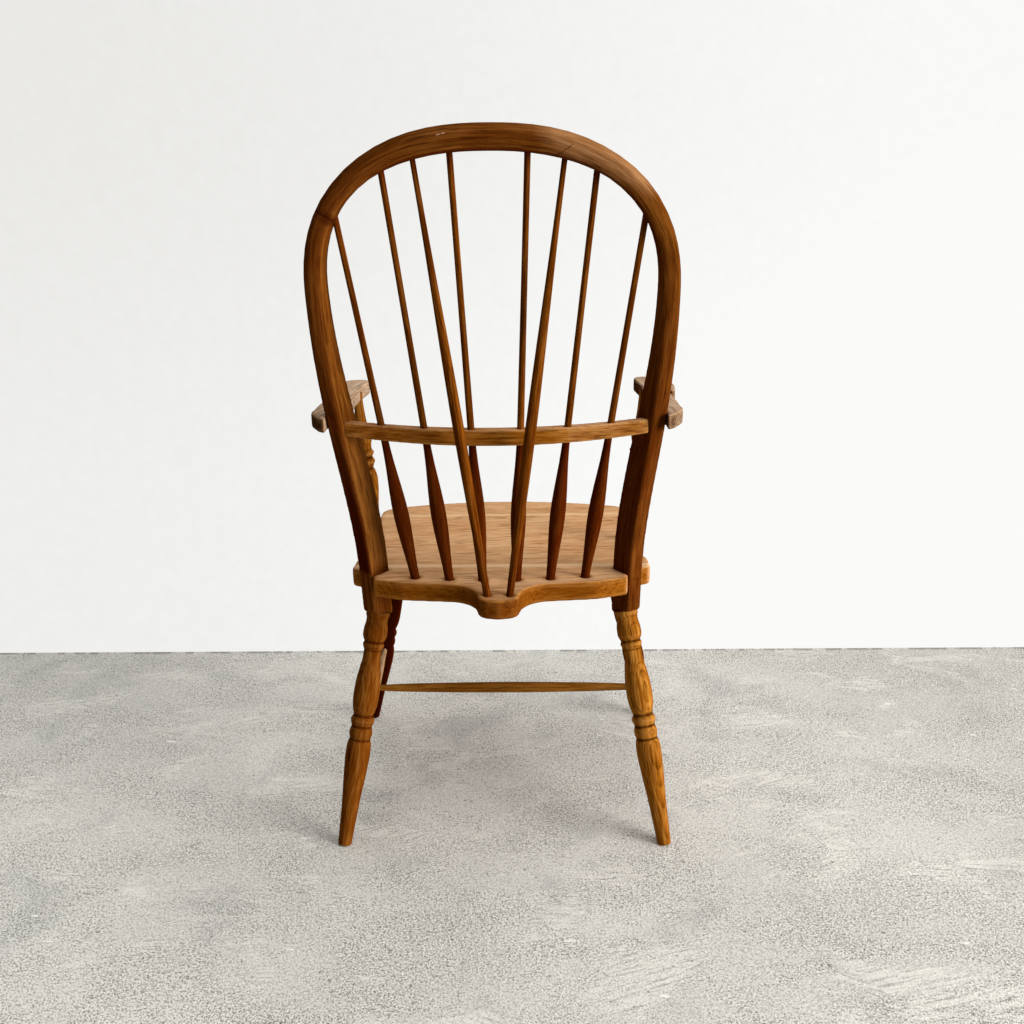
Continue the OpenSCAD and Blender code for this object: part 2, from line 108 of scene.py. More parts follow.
class Finish:
    """The nodes that colour a material, or light a room."""

    def __init__(self, owner):
        owner.use_nodes = True
        self.material = owner
        self.tree = owner.node_tree
        self.shader = self.tree.nodes.get("Principled BSDF") or self.tree.nodes["Background"]

    def join(self, socket, value):
        if isinstance(value, Wire):
            self.tree.links.new(value.socket, socket)
        elif socket.type == "RGBA" and len(value) == 3:
            socket.default_value = (*value, 1.0)
        else:
            socket.default_value = value

    def node(self, kind, settings=None, values=None, out=0):
        """A node of one kind, with its settings, its sockets' values or links, and one way out."""
        made = self.tree.nodes.new("ShaderNode" + kind)
        for key, value in (settings or {}).items():
            if key == "stops":
                self.lay_stops(made.color_ramp.elements, value)
            else:
                setattr(made, key, value)
        shown = [s for s in made.inputs if s.enabled]
        for key, value in (values or {}).items():
            socket = shown[key] if isinstance(key, int) else next(s for s in shown if s.name == key)
            self.join(socket, value)
        ends = [s for s in made.outputs if s.enabled]
        return Wire(self, ends[out] if isinstance(out, int) else next(s for s in ends if s.name == out))

    def lay_stops(self, elements, stops):
        while len(elements) < len(stops):
            elements.new(1.0)
        for element, (place, tone) in zip(elements, stops):
            element.position = place
            element.color = (*tone, 1.0) if isinstance(tone, tuple) else (tone, tone, tone, 1.0)

    def stretch(self, vector, by):
        return self.node("VectorMath", {"operation": "MULTIPLY"}, {0: vector, 1: by})

    def length(self, vector):
        return self.node("VectorMath", {"operation": "LENGTH"}, {0: vector}, "Value")

    def part(self, vector, letter):
        return self.node("SeparateXYZ", {}, {0: vector}, letter)

    def marked(self, name, out="Fac"):
        return self.node("Attribute", {"attribute_name": name}, out=out)

    def clouds(self, place, size, detail=2.0, rough=0.5, bend=0.0):
        """Noise from 0 to 1. size is how many lumps there are in a metre, or three such numbers."""
        spread = (size, size, size) if isinstance(size, (int, float)) else size
        return self.node("TexNoise", {}, {
            "Vector": self.stretch(place, spread), "Scale": 1.0, "Detail": detail,
            "Roughness": rough, "Distortion": bend,
        })

    def step(self, value, low, high, bottom=0.0, top=1.0):
        """value taken from low..high to bottom..top with soft ends, and held outside it."""
        return self.node("MapRange", {"interpolation_type": "SMOOTHSTEP"}, {
            "Value": value, "From Min": low, "From Max": high, "To Min": bottom, "To Max": top,
        })

    def blend(self, under, over, share):
        return self.node("Mix", {"data_type": "RGBA"}, {"Factor": share, "A": under, "B": over})

    def bump(self, height, strength, distance):
        made = self.node("Bump", {}, {"Height": height, "Strength": strength, "Distance": distance})
        self.join(self.shader.inputs["Normal"], made)


def stain(red, green, blue):
    """A colour given as a paint chart does, from 0 to 255, for the shader."""
    return tuple(round(((c / 255 + 0.055) / 1.055) ** 2.4 if c > 10 else c / 255 / 12.92, 5)
                 for c in (red, green, blue))


wall_at = -0.515
floor_wide = 7.0
floor_deep = 5.2
bpy.ops.mesh.primitive_plane_add(size=1.0, location=(0, wall_at + floor_deep / 2, 0))
floor = bpy.context.object
floor.name = "floor"
bpy.ops.object.mode_set(mode="EDIT")
bpy.ops.mesh.select_all(action="SELECT")
bpy.ops.transform.resize(value=(floor_wide, floor_deep, 1.0))
bpy.ops.mesh.subdivide(number_cuts=24)
bpy.ops.object.mode_set(mode="OBJECT")

concrete = Finish(bpy.data.materials.new("pale_floor"))
spot = concrete.node("TexCoord", out="Object")
# The trowel went round in arcs, so each field of the floor has its strokes turned its own way.
field = concrete.node("TexVoronoi", {}, {"Vector": spot, "Scale": 4.5, "Randomness": 1.0}, "Color")
angle = concrete.part(field, "X") * 0.9 - 0.45
turned = concrete.node("VectorRotate", {"rotation_type": "Z_AXIS"}, {"Vector": spot, "Angle": angle})
wide = concrete.clouds(spot, 1.7, 3.0, 0.5)
patch = concrete.clouds(spot, 6.0, 4.0, 0.6, 0.4)
coarse = concrete.clouds(turned, (120.0, 150.0, 50.0), 3.0, 0.8, 0.4)
sand = concrete.clouds(turned, (360.0, 400.0, 100.0), 2.0, 0.8, 0.5)
dots = concrete.clouds(spot, (420.0, 300.0, 100.0), 1.0, 0.6)
grit = concrete.step(concrete.clouds(spot, (5.0, 8.0, 5.0), 4.0, 0.65, 0.4), 0.38, 0.60, 0.55, 1.0)
scrape = concrete.step(concrete.clouds(spot, (5.0, 9.0, 5.0), 5.0, 0.65, 0.6), 0.54, 0.62)
stroke = concrete.clouds(turned, (14.0, 230.0, 30.0), 3.0, 0.7, 0.3)
chip = concrete.step(concrete.clouds(spot, (26.0, 60.0, 26.0), 1.0, 0.5), 0.775, 0.79)
pit = concrete.step(concrete.clouds(spot, 110.0, 0.0), 0.19, 0.16)
under_wall = concrete.step(concrete.part(spot, "Y"), 0.014 - floor_deep / 2, 0.004 - floor_deep / 2)
under_wall = under_wall * concrete.step(concrete.clouds(spot, (30.0, 3.0, 3.0), 3.0, 0.6), 0.46, 0.54)
tone = stain(228, 227, 222)
for colour, share in (
    (stain(243, 242, 237), concrete.step(wide, 0.35, 0.65)),
    (stain(176, 178, 179), concrete.step(patch, 0.52, 0.72) * 0.5),
    # Painted shade: the floor darker to the right of the chair.
    (stain(186, 184, 178), concrete.step(concrete.part(spot, "X"), -0.1, -1.5) * 0.6),
    (stain(112, 108, 100), concrete.step(coarse, 0.48, 0.36) * grit * 0.5),
    (stain(92, 88, 80), concrete.step(sand, 0.49, 0.36) * grit * 0.95),
    (stain(255, 255, 250), concrete.step(sand, 0.51, 0.64) * grit * 0.95),
    (stain(92, 88, 80), concrete.step(dots, 0.45, 0.32) * grit * 0.7),
    (stain(255, 253, 247), scrape * concrete.step(stroke, 0.58, 0.48) * 0.42),
    (stain(120, 116, 107), scrape * concrete.step(stroke, 0.56, 0.66) * 0.35),
    (stain(255, 255, 255), chip * 0.9),
    (stain(84, 82, 74), pit * 0.6),
    (stain(110, 106, 98), under_wall * 0.6),
):
    tone = concrete.blend(tone, colour, share)
concrete.join(concrete.shader.inputs["Base Color"], tone)
concrete.join(concrete.shader.inputs["Roughness"], concrete.step(patch, 0.3, 0.7, 0.66, 0.82))
concrete.join(concrete.shader.inputs["Specular IOR Level"], 0.2)
concrete.bump(sand + dots, 0.2, 0.002)
floor.data.materials.append(concrete.material)

# The white wall is the room itself as the camera sees it. What falls on the chair is dimmer.
room = Finish(bpy.data.worlds.new("room"))
bpy.context.scene.world = room.material
toward = room.node("TexCoord", out="Generated")
across = room.part(toward, "X")
behind = room.part(toward, "Y")
overhead = room.part(toward, "Z")
wall_light = room.step(behind, 0.25, -0.45, 0.05, 0.50) * room.step(across, 0.9, -0.3, 0.25, 1.0)
over_light = room.step(overhead, 0.2, 0.9, 0.0, 0.28)
glow = room.blend((0.0, 0.0, 0.0), (1.0, 0.985, 0.96), wall_light + over_light)
# Painted light: the wall is brighter towards the right and towards its foot.
bright = room.step(across, 0.5, -0.5) + room.step(overhead, 0.1, -0.3, 0.0, 0.35)
bright = bright + (room.clouds(toward, 90.0, 2.0, 0.6) - 0.5) * 0.35
wall = room.blend(stain(233, 232, 229), stain(250, 250, 249), bright)
seen = room.node("LightPath", out="Is Camera Ray")
room.join(room.shader.inputs["Color"], room.blend(glow, wall, seen))


def soft_light(name, place, aim, size, power, tint):
    bpy.ops.object.light_add(type="AREA", location=place)
    lamp = bpy.context.object
    lamp.name = name
    lamp.data.shape = "DISK"
    lamp.data.size = size
    lamp.data.energy = power
    lamp.data.color = tint
    lamp.visible_camera = False
    lamp.rotation_euler = (Vector(aim) - Vector(place)).to_track_quat("-Z", "Y").to_euler()


soft_light("window_light", (-7.4, 3.6, 2.1), (0, 0.1, 0.5), 5.4, 1130.0, (1.0, 0.97, 0.92))
soft_light("ceiling_light", (-0.4, 0.2, 3.0), (0, 0, 0.4), 2.6, 26.0, (1.0, 0.98, 0.95))
bpy.context.scene.view_settings.view_transform = "Standard"

# Turned legs.
# Four splayed legs, turned in one pattern: a plain tapered foot, two rings, a vase, a bead and a
# bulb. The front ones go into the seat, the rear ones into the square ends of the bow. Painted
# shade makes the left legs, the front right one and the backs of the front ones darker and redder,
# and painted light makes the right legs paler but in their hollows.


def workpiece(node):
    """A joined-up copy of a CAD node, named for the piece and standing for the node."""
    piece = bpy.data.objects.new(node + "_piece", cad[node].data.copy())
    bpy.context.scene.collection.objects.link(piece)
    bpy.ops.object.select_all(action="DESELECT")
    piece.select_set(True)
    bpy.context.view_layer.objects.active = piece
    bpy.ops.mesh.customdata_custom_splitnormals_clear()
    bpy.ops.object.mode_set(mode="EDIT")
    bpy.ops.mesh.select_all(action="SELECT")
    bpy.ops.mesh.remove_doubles(threshold=0.00001)
    bpy.ops.mesh.normals_make_consistent(inside=False)
    bpy.ops.object.mode_set(mode="OBJECT")
    bpy.ops.object.shade_smooth_by_angle(angle=math.radians(38))
    piece.data.materials.clear()
    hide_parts(node)
    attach(piece, "root")
    return piece


def on_side(place, side):
    """A place given for the sitter's left, taken to the side that is asked for."""
    return (place[0] * side, place[1], place[2])


def points_of(piece, what="co"):
    """The place of each point of the piece, or its normal."""
    found = np.empty(len(piece.data.vertices) * 3)
    piece.data.vertices.foreach_get(what, found)
    return found.reshape(-1, 3)


def mark(piece, name, values):
    """Keeps a number or a place for each point of the piece, for its material."""
    kind, key = ("FLOAT_VECTOR", "vector") if values.ndim == 2 else ("FLOAT", "value")
    layer = piece.data.attributes.new(name, kind, "POINT")
    layer.data.foreach_set(key, values.astype(np.float32).ravel())


def lay_grain(piece, low, high, heart):
    """Grain along the line from low to high. heart is where the tree's middle lay beside it."""
    line = Vector(high) - Vector(low)
    turn = np.array(line.to_track_quat("Z", "Y").to_matrix())
    mark(piece, "grain", (points_of(piece) - np.array(low)) @ turn + np.array(heart))


def mark_turning(piece, low, high, reach=7, gain=420.0, rubbed=0.0):
    """Marks the hollows of a turned piece towards 0 and its beads towards 1.

    Its radius is set against the mean over reach millimetres either way. rubbed makes all but
    the hollows paler; the right legs take it as painted light.
    """
    line = np.array(high) - np.array(low)
    line = line / np.linalg.norm(line)
    offset = points_of(piece) - np.array(low)
    height = offset @ line
    radius = np.linalg.norm(offset - height[:, None] * line, axis=1)
    slot = np.round((height - height.min()) * 1000).astype(int)
    outer = np.zeros(slot.max() + 1)
    np.maximum.at(outer, slot, radius)
    near = np.array([outer[max(0, i - 8):i + 9].max() for i in range(len(outer))])
    full = np.flatnonzero(outer > 0.75 * near)
    outer = np.interp(np.arange(len(outer)), full, outer[full])
    window = 2 * reach + 1
    mean = np.convolve(np.pad(outer, reach, "edge"), np.ones(window) / window, "valid")
    lift = 0.5 + gain * (radius - mean[slot])
    mark(piece, "worn", np.clip(lift + rubbed * np.clip(3.0 * lift - 0.9, 0.0, 1.0), 0.0, 1.0))


def waxed_wood(name, tones, pore, worn, hollow, bare=None, ring=0.0034, figure=1.0,
               sway=0.011, gloss=0.42, marks=None):
    """Open grained wood under stain and wax, from what is marked on the piece.

    tones and bare are dark, middle and pale, with the stain on and with it rubbed off; the bare
    tones also carry painted light. ring is the width of a year, figure how strongly the grain shows,
    and sway how far it wanders. The worn tone is also used for painted glints.
    The marks are grain, worn (0 in hollows, 1 on rubbed edges, raised further by painted light on
    some pieces), bare (stain rubbed off, and painted light on some pieces) and painted shade, which
    turns the colour darker and redder, up to nearly black at 2.
    """
    wood = Finish(bpy.data.materials.new(name))
    grain = wood.marked("grain", "Vector")
    drift = wood.node("TexNoise", {}, {
        "Vector": wood.stretch(grain, (16.0, 16.0, 3.2)), "Scale": 1.0, "Detail": 2.0,
    }, "Color")
    pull = wood.stretch(drift, (sway, sway, 0.0))
    flow = wood.node("VectorMath", {"operation": "ADD"}, {0: grain, 1: pull})
    from_heart = wood.length(wood.stretch(flow, (1.0, 1.0, 0.0)))
    age = from_heart / ring + wood.clouds(flow, (60.0, 60.0, 2.0)) * 1.4
    year = wood.node("Math", {"operation": "FRACT"}, {0: age})
    late = wood.node(
        "ValToRGB", {"stops": [(0.0, 0.15), (0.1, 1.0), (0.42, 0.25), (1.0, 0.05)]}, {"Fac": year},
    )
    hair = wood.clouds(flow, (640.0, 640.0, 38.0), 2.0, 0.6)
    fibre = wood.clouds(flow, (270.0, 270.0, 17.0), 3.0, 0.62)
    streak = wood.clouds(flow, (105.0, 105.0, 3.6), 2.0, 0.5)
    blotch = wood.clouds(grain, (14.0, 14.0, 7.0), 3.0, 0.5)
    dash = wood.step(wood.clouds(flow, (350.0, 350.0, 24.0), 1.0, 0.5), 0.56, 0.66)
    dash = dash * (late * 0.5 + 0.5)
    # Painted glints: small pale flecks in the worn tone.
    painted_glint = wood.step(wood.clouds(flow, (300.0, 300.0, 15.0), 1.0, 0.5), 0.44, 0.34)
    depth = (streak - 0.5) * figure + (fibre - 0.5) * 1.2 + (hair - 0.5) * 0.8 + (blotch - 0.5) * 0.7
    depth = depth - late * (0.34 * figure) + 0.66

    def by_depth(dark, middle, pale):
        return wood.node("ValToRGB", {"stops": [(0.0, dark), (0.5, middle), (1.0, pale)]}, {"Fac": depth})

    shade = by_depth(*tones)
    # The bare tones stand for stain rubbed off, and for painted light on some pieces.
    if bare:
        cover = wood.step(wood.marked("bare") + (blotch - 0.5) * 0.5, 0.2, 0.8)
        shade = wood.blend(shade, by_depth(*bare), cover)
    wear_and_light = wood.marked("worn")
    # Paler where the worn mark is high: real wear, and painted light on the bow's left leg and the right
    # legs.
    rubbed = wood.step(wear_and_light + (fibre - 0.5) * 0.4 + (blotch - 0.5) * 0.3, 0.62, 1.0)
    sunk = wood.step(wear_and_light, 0.44, 0.12)
    shade = wood.blend(shade, worn, rubbed * 0.42 + painted_glint * (0.22 * figure))
    shade = wood.blend(shade, pore, dash * 0.6)
    shade = wood.blend(shade, hollow, sunk * 0.75)
    if marks:
        shade = marks(wood, grain, shade)
    # Painted shade: darker and redder where the shade mark is high, nearly black above 1.
    dim = wood.marked("dim")
    shade = wood.blend(shade, stain(68, 17, 2), dim * 0.75)
    shade = wood.blend(shade, stain(14, 3, 0), wood.step(dim, 1.0, 2.0))
    wood.join(wood.shader.inputs["Base Color"], shade)
    wood.join(wood.shader.inputs["Roughness"], (blotch - 0.5) * 0.16 + dash * 0.2 + sunk * 0.15 + gloss)
    wood.join(wood.shader.inputs["Specular IOR Level"], 0.0)
    wood.bump(fibre * 0.5 - dash - late * 0.25, 0.30, 0.0005)
    return wood.material


leg_wood = waxed_wood(
    "leg_wood", (stain(84, 40, 3), stain(140, 82, 18), stain(186, 128, 54)), stain(58, 26, 3),
    stain(184, 130, 66), stain(48, 20, 2), ring=0.0022, figure=1.0, sway=0.0035,
)
legs = {
    "rear_leg": ((0.2535, 0.1877, 0.0), (0.1945, 0.0867, 0.357)),
    "front_leg": ((0.2670, -0.2223, 0.0), (0.1845, -0.1593, 0.402)),
}
leg_painted_shade = {"front_leg_left": 0.7, "front_leg_right": 0.5, "rear_leg_left": 0.75, "rear_leg_right": 0.0}
for side, hand in ((1, "left"), (-1, "right")):
    for leg, (foot, top) in legs.items():
        low = on_side(foot, side)
        high = on_side(top, side)
        piece = workpiece(leg + "_" + hand)
        heart = (0.004 * side, 0.030, 0.3) if leg == "rear_leg" else (-0.024, 0.02, 1.1)
        lay_grain(piece, low, high, heart)
        # Painted light: the right legs are made paler but in their hollows.
        mark_turning(piece, low, high, 6, 420.0, 0.12 * (side < 0))
        # Painted shade: the left legs and the front right one darker and redder, the front legs more so on
        # their backs.
        rearward = np.clip(points_of(piece, "normal")[:, 1] + 0.3, 0, 1)
        mark(piece, "dim", leg_painted_shade[leg + "_" + hand] + 0.9 * rearward * (leg == "front_leg"))
        piece.data.materials.append(leg_wood)

# Stretchers.
# Two long bars join the legs from front to rear, and a cross bar joins their middles. Each swells
# in its middle and is glued into a hole at each end. Feet have rubbed the tops of the side ones.
stretcher_wood = waxed_wood(
    "stretcher_wood", (stain(88, 48, 8), stain(138, 88, 26), stain(176, 122, 52)), stain(62, 32, 5),
    stain(184, 134, 70), stain(44, 20, 4), ring=0.0036, figure=0.7,
    bare=(stain(104, 76, 52), stain(150, 118, 90), stain(182, 152, 122)),
)
bars = {
    "side_stretcher_left": ((0.2284, 0.1447, 0.152), (0.2342, -0.1972, 0.160)),
    "side_stretcher_right": ((-0.2284, 0.1447, 0.152), (-0.2342, -0.1972, 0.160)),
    "cross_stretcher": ((0.2315, -0.0399, 0.1563), (-0.2315, -0.0399, 0.1563)),
}
for number, (node, (low, high)) in enumerate(bars.items()):
    piece = workpiece(node)
    lay_grain(piece, low, high, (0.03 + 0.01 * number, -0.05, 2.0 + number))
    mark_turning(piece, low, high, 12)
    upward = points_of(piece, "normal")[:, 2]
    mark(piece, "bare", np.interp(upward, (-0.2, 0.3), (0.0, 0.85)) * (node != "cross_stretcher"))
    # Painted shade: the cross bar is a little darker.
    mark(piece, "dim", np.full(len(upward), 0.3) * (node == "cross_stretcher"))
    piece.data.materials.append(stretcher_wood)

# Seat.
# One board with its grain across the chair, a shallow hollow for the sitter and a bob tail behind.
# Its edges are rounded and worn and its top is rubbed paler. Painted shade darkens its edges and
# underside, most at the tail, and painted light makes the side of its right end paler.


def soften(piece, cell, passes, swell=0.0):
    """Rounds every edge of a board as years of use do, and can thicken it by a hair."""
    bpy.ops.object.select_all(action="DESELECT")
    piece.select_set(True)
    bpy.context.view_layer.objects.active = piece
    net = piece.modifiers.new("even_net", "REMESH")
    net.mode = "VOXEL"
    net.voxel_size = cell
    bpy.ops.object.modifier_apply(modifier=net.name)
    rub = piece.modifiers.new("rubbed", "SMOOTH")
    rub.factor = 0.5
    rub.iterations = passes
    bpy.ops.object.modifier_apply(modifier=rub.name)
    grown = points_of(piece) + points_of(piece, "normal") * swell
    piece.data.vertices.foreach_set("co", grown.ravel())
    bpy.ops.object.shade_smooth()


def mark_edges(piece, reach, gain, rubbed=0.0):
    """Marks worn edges towards 1 and hollows towards 0, by how far a point stands out.

    It is set against a copy that is evened out reach times over each point's neighbours.
    rubbed raises the whole mark; the bow takes it as painted light.
    """
    start = points_of(piece)
    count = len(start)
    ends = np.empty(len(piece.data.edges) * 2, dtype=int)
    piece.data.edges.foreach_get("vertices", ends)
    first, second = ends[0::2], ends[1::2]
    mates = np.bincount(first, minlength=count) + np.bincount(second, minlength=count)
    even = start.copy()
    for _ in range(reach):
        even = np.stack([
            (np.bincount(first, even[second, k], count) + np.bincount(second, even[first, k], count)) / mates
            for k in range(3)
        ], axis=1)
    lift = ((start - even) * points_of(piece, "normal")).sum(axis=1)
    mark(piece, "worn", np.clip(0.5 + gain * lift + rubbed, 0.0, 1.0))


knot_at = (-0.0215, 0.2270, 0.428)
rear_rim_at = 0.081
front_rim_at = -0.172


def seat_marks(wood, grain, shade):
    """The pale rims of the hollow, and a small knot in the bob tail."""
    rim = wood.marked("rim") * wood.step(wood.clouds(grain, (200.0, 200.0, 6.0), 2.0), 0.30, 0.50, 0.6, 1.0)
    shade = wood.blend(shade, stain(250, 212, 168), rim * 0.8)
    spot = wood.node("TexCoord", out="Object")
    from_knot = wood.node("VectorMath", {"operation": "SUBTRACT"}, {0: spot, 1: knot_at})
    away = wood.length(wood.stretch(from_knot, (58.0, 90.0, 100.0)))
    away = away + (wood.clouds(grain, (90.0, 90.0, 30.0), 3.0) - 0.5) * 1.2
    shade = wood.blend(shade, stain(104, 50, 20), wood.step(away, 1.15, 0.35) * 0.6)
    bark = wood.step(away, 0.62, 0.86) * wood.step(away, 1.25, 0.9)
    return wood.blend(shade, stain(66, 28, 8), bark * 0.4)


seat_wood = waxed_wood(
    "seat_wood", (stain(84, 38, 2), stain(130, 72, 10), stain(168, 104, 28)), stain(104, 54, 14),
    stain(176, 116, 52), stain(50, 22, 3),
    bare=(stain(166, 114, 70), stain(208, 157, 110), stain(232, 190, 146)),
    ring=0.0042, figure=0.5, sway=0.004, gloss=0.46, marks=seat_marks,
)
seat = workpiece("seat")
soften(seat, 0.0026, 5, 0.0006)
lay_grain(seat, (0.0, 0.0, 0.416), (1.0, 0.05, 0.376), (0.02, 0.06, 0.5))
places = points_of(seat)
normals = points_of(seat, "normal")
upward = normals[:, 2]
rear_rim = 0.85 * np.exp(-((places[:, 1] - rear_rim_at) / 0.0085) ** 4)
front_rim = 0.8 * np.exp(-((places[:, 1] - front_rim_at) / 0.005) ** 2)
mark(seat, "rim", (rear_rim + front_rim) * (upward > 0.7))
mark_edges(seat, 6, 900.0)
top_bare = np.clip((upward - 0.6) / 0.35, 0, 1) * np.interp(places[:, 1], (0.07, 0.10, 0.20), (1, 0.95, 0.5))
# Painted light: the side of the right end, which faces the light, is paler.
painted_light_side = np.clip(-1.5 * normals[:, 0] - 0.6, 0, 0.6) * (places[:, 0] < -0.15)
mark(seat, "bare", np.maximum(top_bare, painted_light_side))
# Painted shade on the edges and underside, deepest at the tail.
painted_edge_shade = np.interp(places[:, 1], (0.14, 0.20), (0.15, 0.8))
mark(seat, "dim", np.interp(upward, (0.3, 0.6), (1.0, 0.0)) * painted_edge_shade)
seat.data.materials.append(seat_wood)

# Bow.
# One stick, steamed and bent into a hoop. Its ends are square and twisted where they are let into
# the seat and the arms, and it is rounded over where it crosses above the spindles. Painted shade
# makes its legs and the underside of its top darker and redder; painted light makes the inner face
# of the left leg paler, and the crown is paler, partly rubbed and partly painted light on its top.
seat_top = 0.430
arm_top = 0.689
bow_low = 0.327
bow_wide = 0.858
bow_top = 1.052
bow_reach = 0.233
bow_foot = 0.1945
bow_foot_back = 0.102208
bow_square = 2.38
bow_tilt = 0.005
bow_lean = math.radians(12)
bow_into_seat = 0.115


def bow_back(z):
    return bow_foot_back + math.tan(bow_lean) * (z - seat_top)


def bow_line():
    """Points along the middle of the bow, from the left foot over the top to the right foot."""
    half = []
    for i in range(31):
        half.append((bow_foot, bow_low + (seat_top - bow_low) * i / 30))
    for i in range(1, 60):
        share = math.sin(math.pi / 2 * i / 60) ** 1.9
        half.append((bow_foot + (bow_reach - bow_foot) * share, seat_top + (bow_wide - seat_top) * i / 60))
    for i in range(61):
        turn = math.pi / 2 * i / 60
        x = bow_reach * math.cos(turn) ** (2 / bow_square)
        half.append((x, bow_wide + (bow_top - bow_wide) * math.sin(turn) ** (2 / bow_square)))
    line = []
    for x, z in half + [(-x, z) for x, z in half[-2::-1]]:
        z = z + bow_tilt / 2 * x / bow_reach * max(0.0, z - arm_top) / (bow_top - arm_top)
        line.append((x, bow_back(z), z))
    return np.array(line)


def lay_bent_grain(piece, line, heart):
    """Grain that follows the bend: across, front to back and along the line of points."""
    way = line[1:] - line[:-1]
    long = np.linalg.norm(way, axis=1)
    way = way / long[:, None]
    passed = np.concatenate([[0.0], np.cumsum(long)[:-1]])
    square = np.array((0.0, math.cos(bow_lean), -math.sin(bow_lean)))
    outward = np.cross(square, way)
    places = points_of(piece)
    found = np.empty_like(places)
    batch = 4000
    for first in range(0, len(places), batch):
        some = places[first:first + batch]
        off = some[:, None, :] - line[None, :-1, :]
        along = np.clip((off * way[None]).sum(axis=2), 0.0, long[None])
        gap = off - along[:, :, None] * way[None]
        best = (gap * gap).sum(axis=2).argmin(axis=1)
        row = np.arange(len(some))
        rest = gap[row, best]
        found[first:first + batch, 0] = (rest * outward[best]).sum(axis=1)
        found[first:first + batch, 1] = rest @ square
        found[first:first + batch, 2] = passed[best] + along[row, best]
    mark(piece, "grain", found + np.array(heart))
    return found


bow_heart = (0.035, 0.03, 0.0)
scratch_at = 0.8408


def bow_marks(wood, grain, shade):
    """Lines across the stick: a dark one from the bending, a slanting shake, a seam and a scratch."""
    out = wood.part(grain, "X") - bow_heart[0]
    run = wood.part(grain, "Z")
    wander = (wood.clouds(grain, 90.0, 2.0) - 0.5) * 0.004 + (wood.clouds(grain, 38.0, 1.0) - 0.5) * 0.012
    for at, slope, width, tone, share in (
        (0.6565, 0.05, 0.0100, stain(40, 12, 3), wood.step(out, 0.012, -0.004) * 0.65),
        (0.6585, 0.05, 0.0016, stain(30, 9, 2), 0.8),
        (0.9940, 0.95, 0.0014, stain(58, 28, 8), wood.step(out, 0.009, 0.004) * 0.65),
        (1.6900, 0.1, 0.0014, stain(40, 14, 3), 0.5),
    ):
        away = abs(run - at - out * slope + wander)
        shade = wood.blend(shade, tone, wood.step(away, width, width * 0.3) * share)
    past = run - scratch_at
    aside = abs(out - 0.0095 - past * 0.12)
    dashes = wood.step(abs(past), 0.0056, 0.0048) * wood.step(abs(past), 0.0004, 0.0012)
    return wood.blend(shade, stain(214, 176, 144), dashes * wood.step(aside, 0.0008, 0.0003) * 0.7)


bow_wood = waxed_wood(
    "bow_wood", (stain(58, 24, 4), stain(98, 52, 12), stain(138, 84, 30)), stain(36, 14, 2),
    stain(156, 102, 46), stain(38, 9, 1),
    bare=(stain(104, 62, 30), stain(140, 96, 58), stain(172, 128, 88)),
    ring=0.0036, figure=0.5, sway=0.007, gloss=0.36, marks=bow_marks,
)
bow = workpiece("bow")
soften(bow, 0.0022, 2, 0.0010)
bent = lay_bent_grain(bow, bow_line(), bow_heart)
outer = bent[:, 0]
run = bent[:, 2]
facing = points_of(bow, "normal")[:, 0]
# Painted light: the inner face of the left leg, which faces the light, is paler.
painted_light_face = np.clip(-2.5 * facing - 0.8, 0, 1) * np.interp(run, (0.11, 0.13, 0.28, 0.45), (0, 1, 1, 0))
mark_edges(bow, 4, 300.0, 0.42 * painted_light_face)
# The crown is paler where the stain is rubbed, and paler still on its top as painted light.
crown_rubbed_and_lit = np.interp(run, (0.70, 0.80, 0.95, 1.0, 1.07, 1.14), (0.0, 0.20, 0.30, 0.85, 0.75, 0.0))
crown_rubbed_and_lit = crown_rubbed_and_lit * np.interp(outer, (-0.006, 0.010), (0.6, 1.4))
mark(bow, "bare", crown_rubbed_and_lit + 0.15 * painted_light_face)
# Painted shade under the top of the bow.
under = np.interp(outer, (-0.012, -0.007), (1.0, 0.0)) * np.interp(run, (0.6, 0.75, 1.15, 1.3), (0, 1, 1, 0))
# Painted shade on the bow's legs: darker on faces turned to the sitter's left, and lower down.
left_leg_shade = np.where(run < bow_into_seat, 0.9, np.interp(facing, (-0.7, -0.3, 0.5), (0.2, 1.1, 1.3)))
left_leg_shade = left_leg_shade * np.interp(run, (0.10, 0.12, 0.24, 0.34, 0.7, 0.85), (0.6, 1, 0.9, 0.6, 0.45, 0.15))
right_leg_shade = np.interp(facing, (-0.6, 0.5), (0.6, 0.9)) * np.interp(run, (1.15, 1.3, 1.5), (0.15, 0.6, 1.0))
mark(bow, "dim", np.maximum(under, np.where(points_of(bow)[:, 0] > 0, left_leg_shade, right_leg_shade)))
bow.data.materials.append(bow_wood)

# Mid rail.
# A thin curved rail of the same wood, which the six spindles pass through. It is tapered to its
# ends, which are let into the bow, and rounded over. Its top is paler, rubbed and with a painted
# highlight; its right end is paler with painted light and its left end darker with painted shade.
rail_wood = waxed_wood(
    "rail_wood", (stain(84, 40, 4), stain(136, 78, 16), stain(180, 120, 50)), stain(54, 24, 4),
    stain(196, 142, 84), stain(40, 17, 3), ring=0.0030, figure=0.5, sway=0.006, gloss=0.38,
    bare=(stain(142, 92, 50), stain(186, 134, 90), stain(212, 166, 122)),
)
rail = workpiece("mid_rail")
soften(rail, 0.0011, 6, 0.0012)
lay_grain(rail, (0.0, 0.16, 0.66), (1.0, 0.16, 0.66), (0.025, 0.02, 4.0))
mark_edges(rail, 8, 500.0)
leftward = points_of(rail)[:, 0]
upward = points_of(rail, "normal")[:, 2]
# Paler top: rubbed, and a painted highlight; the right end paler still as painted light.
mark(rail, "bare", np.interp(upward, (0.25, 0.8), (0.0, 0.9)) + (leftward < -0.1) * 0.3)
